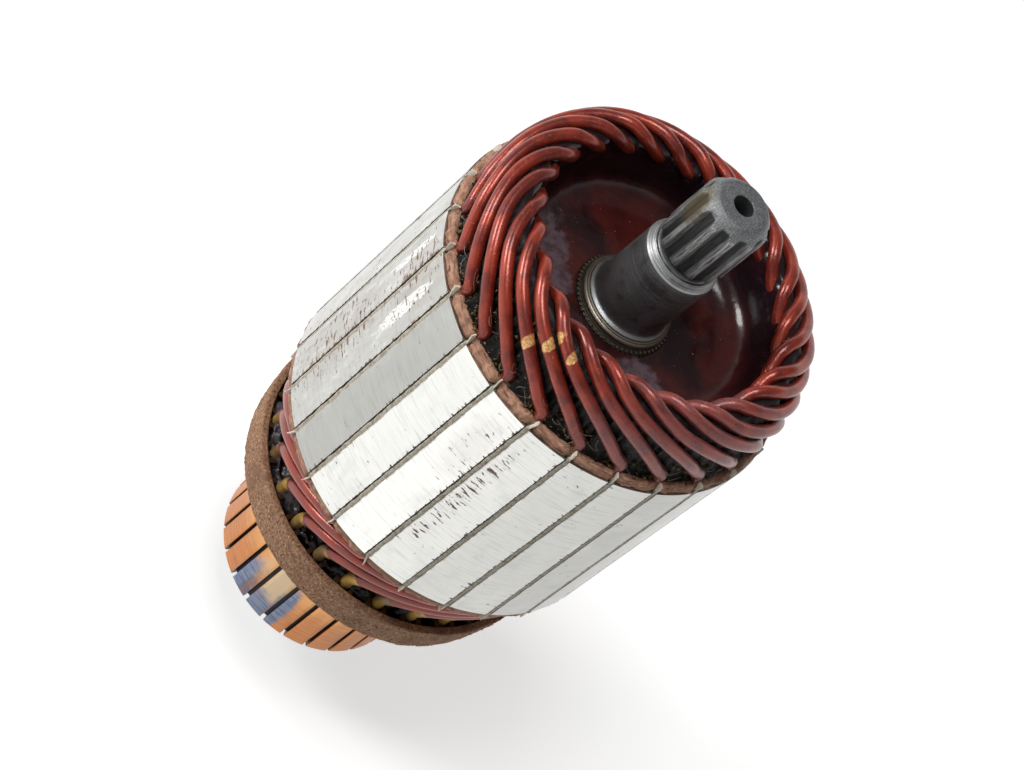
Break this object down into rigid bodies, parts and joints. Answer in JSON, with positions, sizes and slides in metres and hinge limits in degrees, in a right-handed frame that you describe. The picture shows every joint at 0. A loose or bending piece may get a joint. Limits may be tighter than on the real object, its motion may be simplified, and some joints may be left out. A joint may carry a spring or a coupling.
{
  "type": "starter motor armature",
  "caption": "Wound rotor of a reduction-drive starter motor: slotted steel core, enamelled hairpin windings, copper commutator and a shaft with a toothed drive end.",
  "frame": {"origin": "centre of the shaft's end face at the commutator end", "axes": "+Z along the shaft towards the toothed drive end, +X through the first slot of the core"},
  "size_m": [0.06, 0.06, 0.1323],
  "materials": {
    "shaft_steel": "turned steel, darkened by use",
    "core_steel": "ground sheet steel with rust specks",
    "fibre": "matt vulcanised fibre, stained",
    "liner_paper": "varnished insulating paper",
    "resin": "dark glossy cured resin",
    "bandage_wrap": "resin-bonded cord, rough and speckled",
    "hub_moulding": "moulded phenolic",
    "enamelled_wire": "glossy red-brown enamel over copper",
    "copper_bar": "copper worn by brushes"
  },
  "bodies": {
    "root": {"shaft": "shaft_steel", "core": "core_steel", "front_insulator": "fibre", "rear_insulator": "fibre", "slot_liners": "liner_paper", "resin_ring": "resin", "bandage": "bandage_wrap", "commutator_hub": "hub_moulding", "hairpin_01": "enamelled_wire", "hairpin_02": "enamelled_wire", "hairpin_03": "enamelled_wire", "hairpin_04": "enamelled_wire", "hairpin_05": "enamelled_wire", "hairpin_06": "enamelled_wire", "hairpin_07": "enamelled_wire", "hairpin_08": "enamelled_wire", "hairpin_09": "enamelled_wire", "hairpin_10": "enamelled_wire", "hairpin_11": "enamelled_wire", "hairpin_12": "enamelled_wire", "hairpin_13": "enamelled_wire", "hairpin_14": "enamelled_wire", "hairpin_15": "enamelled_wire", "hairpin_16": "enamelled_wire", "hairpin_17": "enamelled_wire", "hairpin_18": "enamelled_wire", "hairpin_19": "enamelled_wire", "hairpin_20": "enamelled_wire", "hairpin_21": "enamelled_wire", "hairpin_22": "enamelled_wire", "hairpin_23": "enamelled_wire", "hairpin_24": "enamelled_wire", "hairpin_25": "enamelled_wire", "bar_01": "copper_bar", "bar_02": "copper_bar", "bar_03": "copper_bar", "bar_04": "copper_bar", "bar_05": "copper_bar", "bar_06": "copper_bar", "bar_07": "copper_bar", "bar_08": "copper_bar", "bar_09": "copper_bar", "bar_10": "copper_bar", "bar_11": "copper_bar", "bar_12": "copper_bar", "bar_13": "copper_bar", "bar_14": "copper_bar", "bar_15": "copper_bar", "bar_16": "copper_bar", "bar_17": "copper_bar", "bar_18": "copper_bar", "bar_19": "copper_bar", "bar_20": "copper_bar", "bar_21": "copper_bar", "bar_22": "copper_bar", "bar_23": "copper_bar", "bar_24": "copper_bar", "bar_25": "copper_bar"}
  },
  "joints": []
}
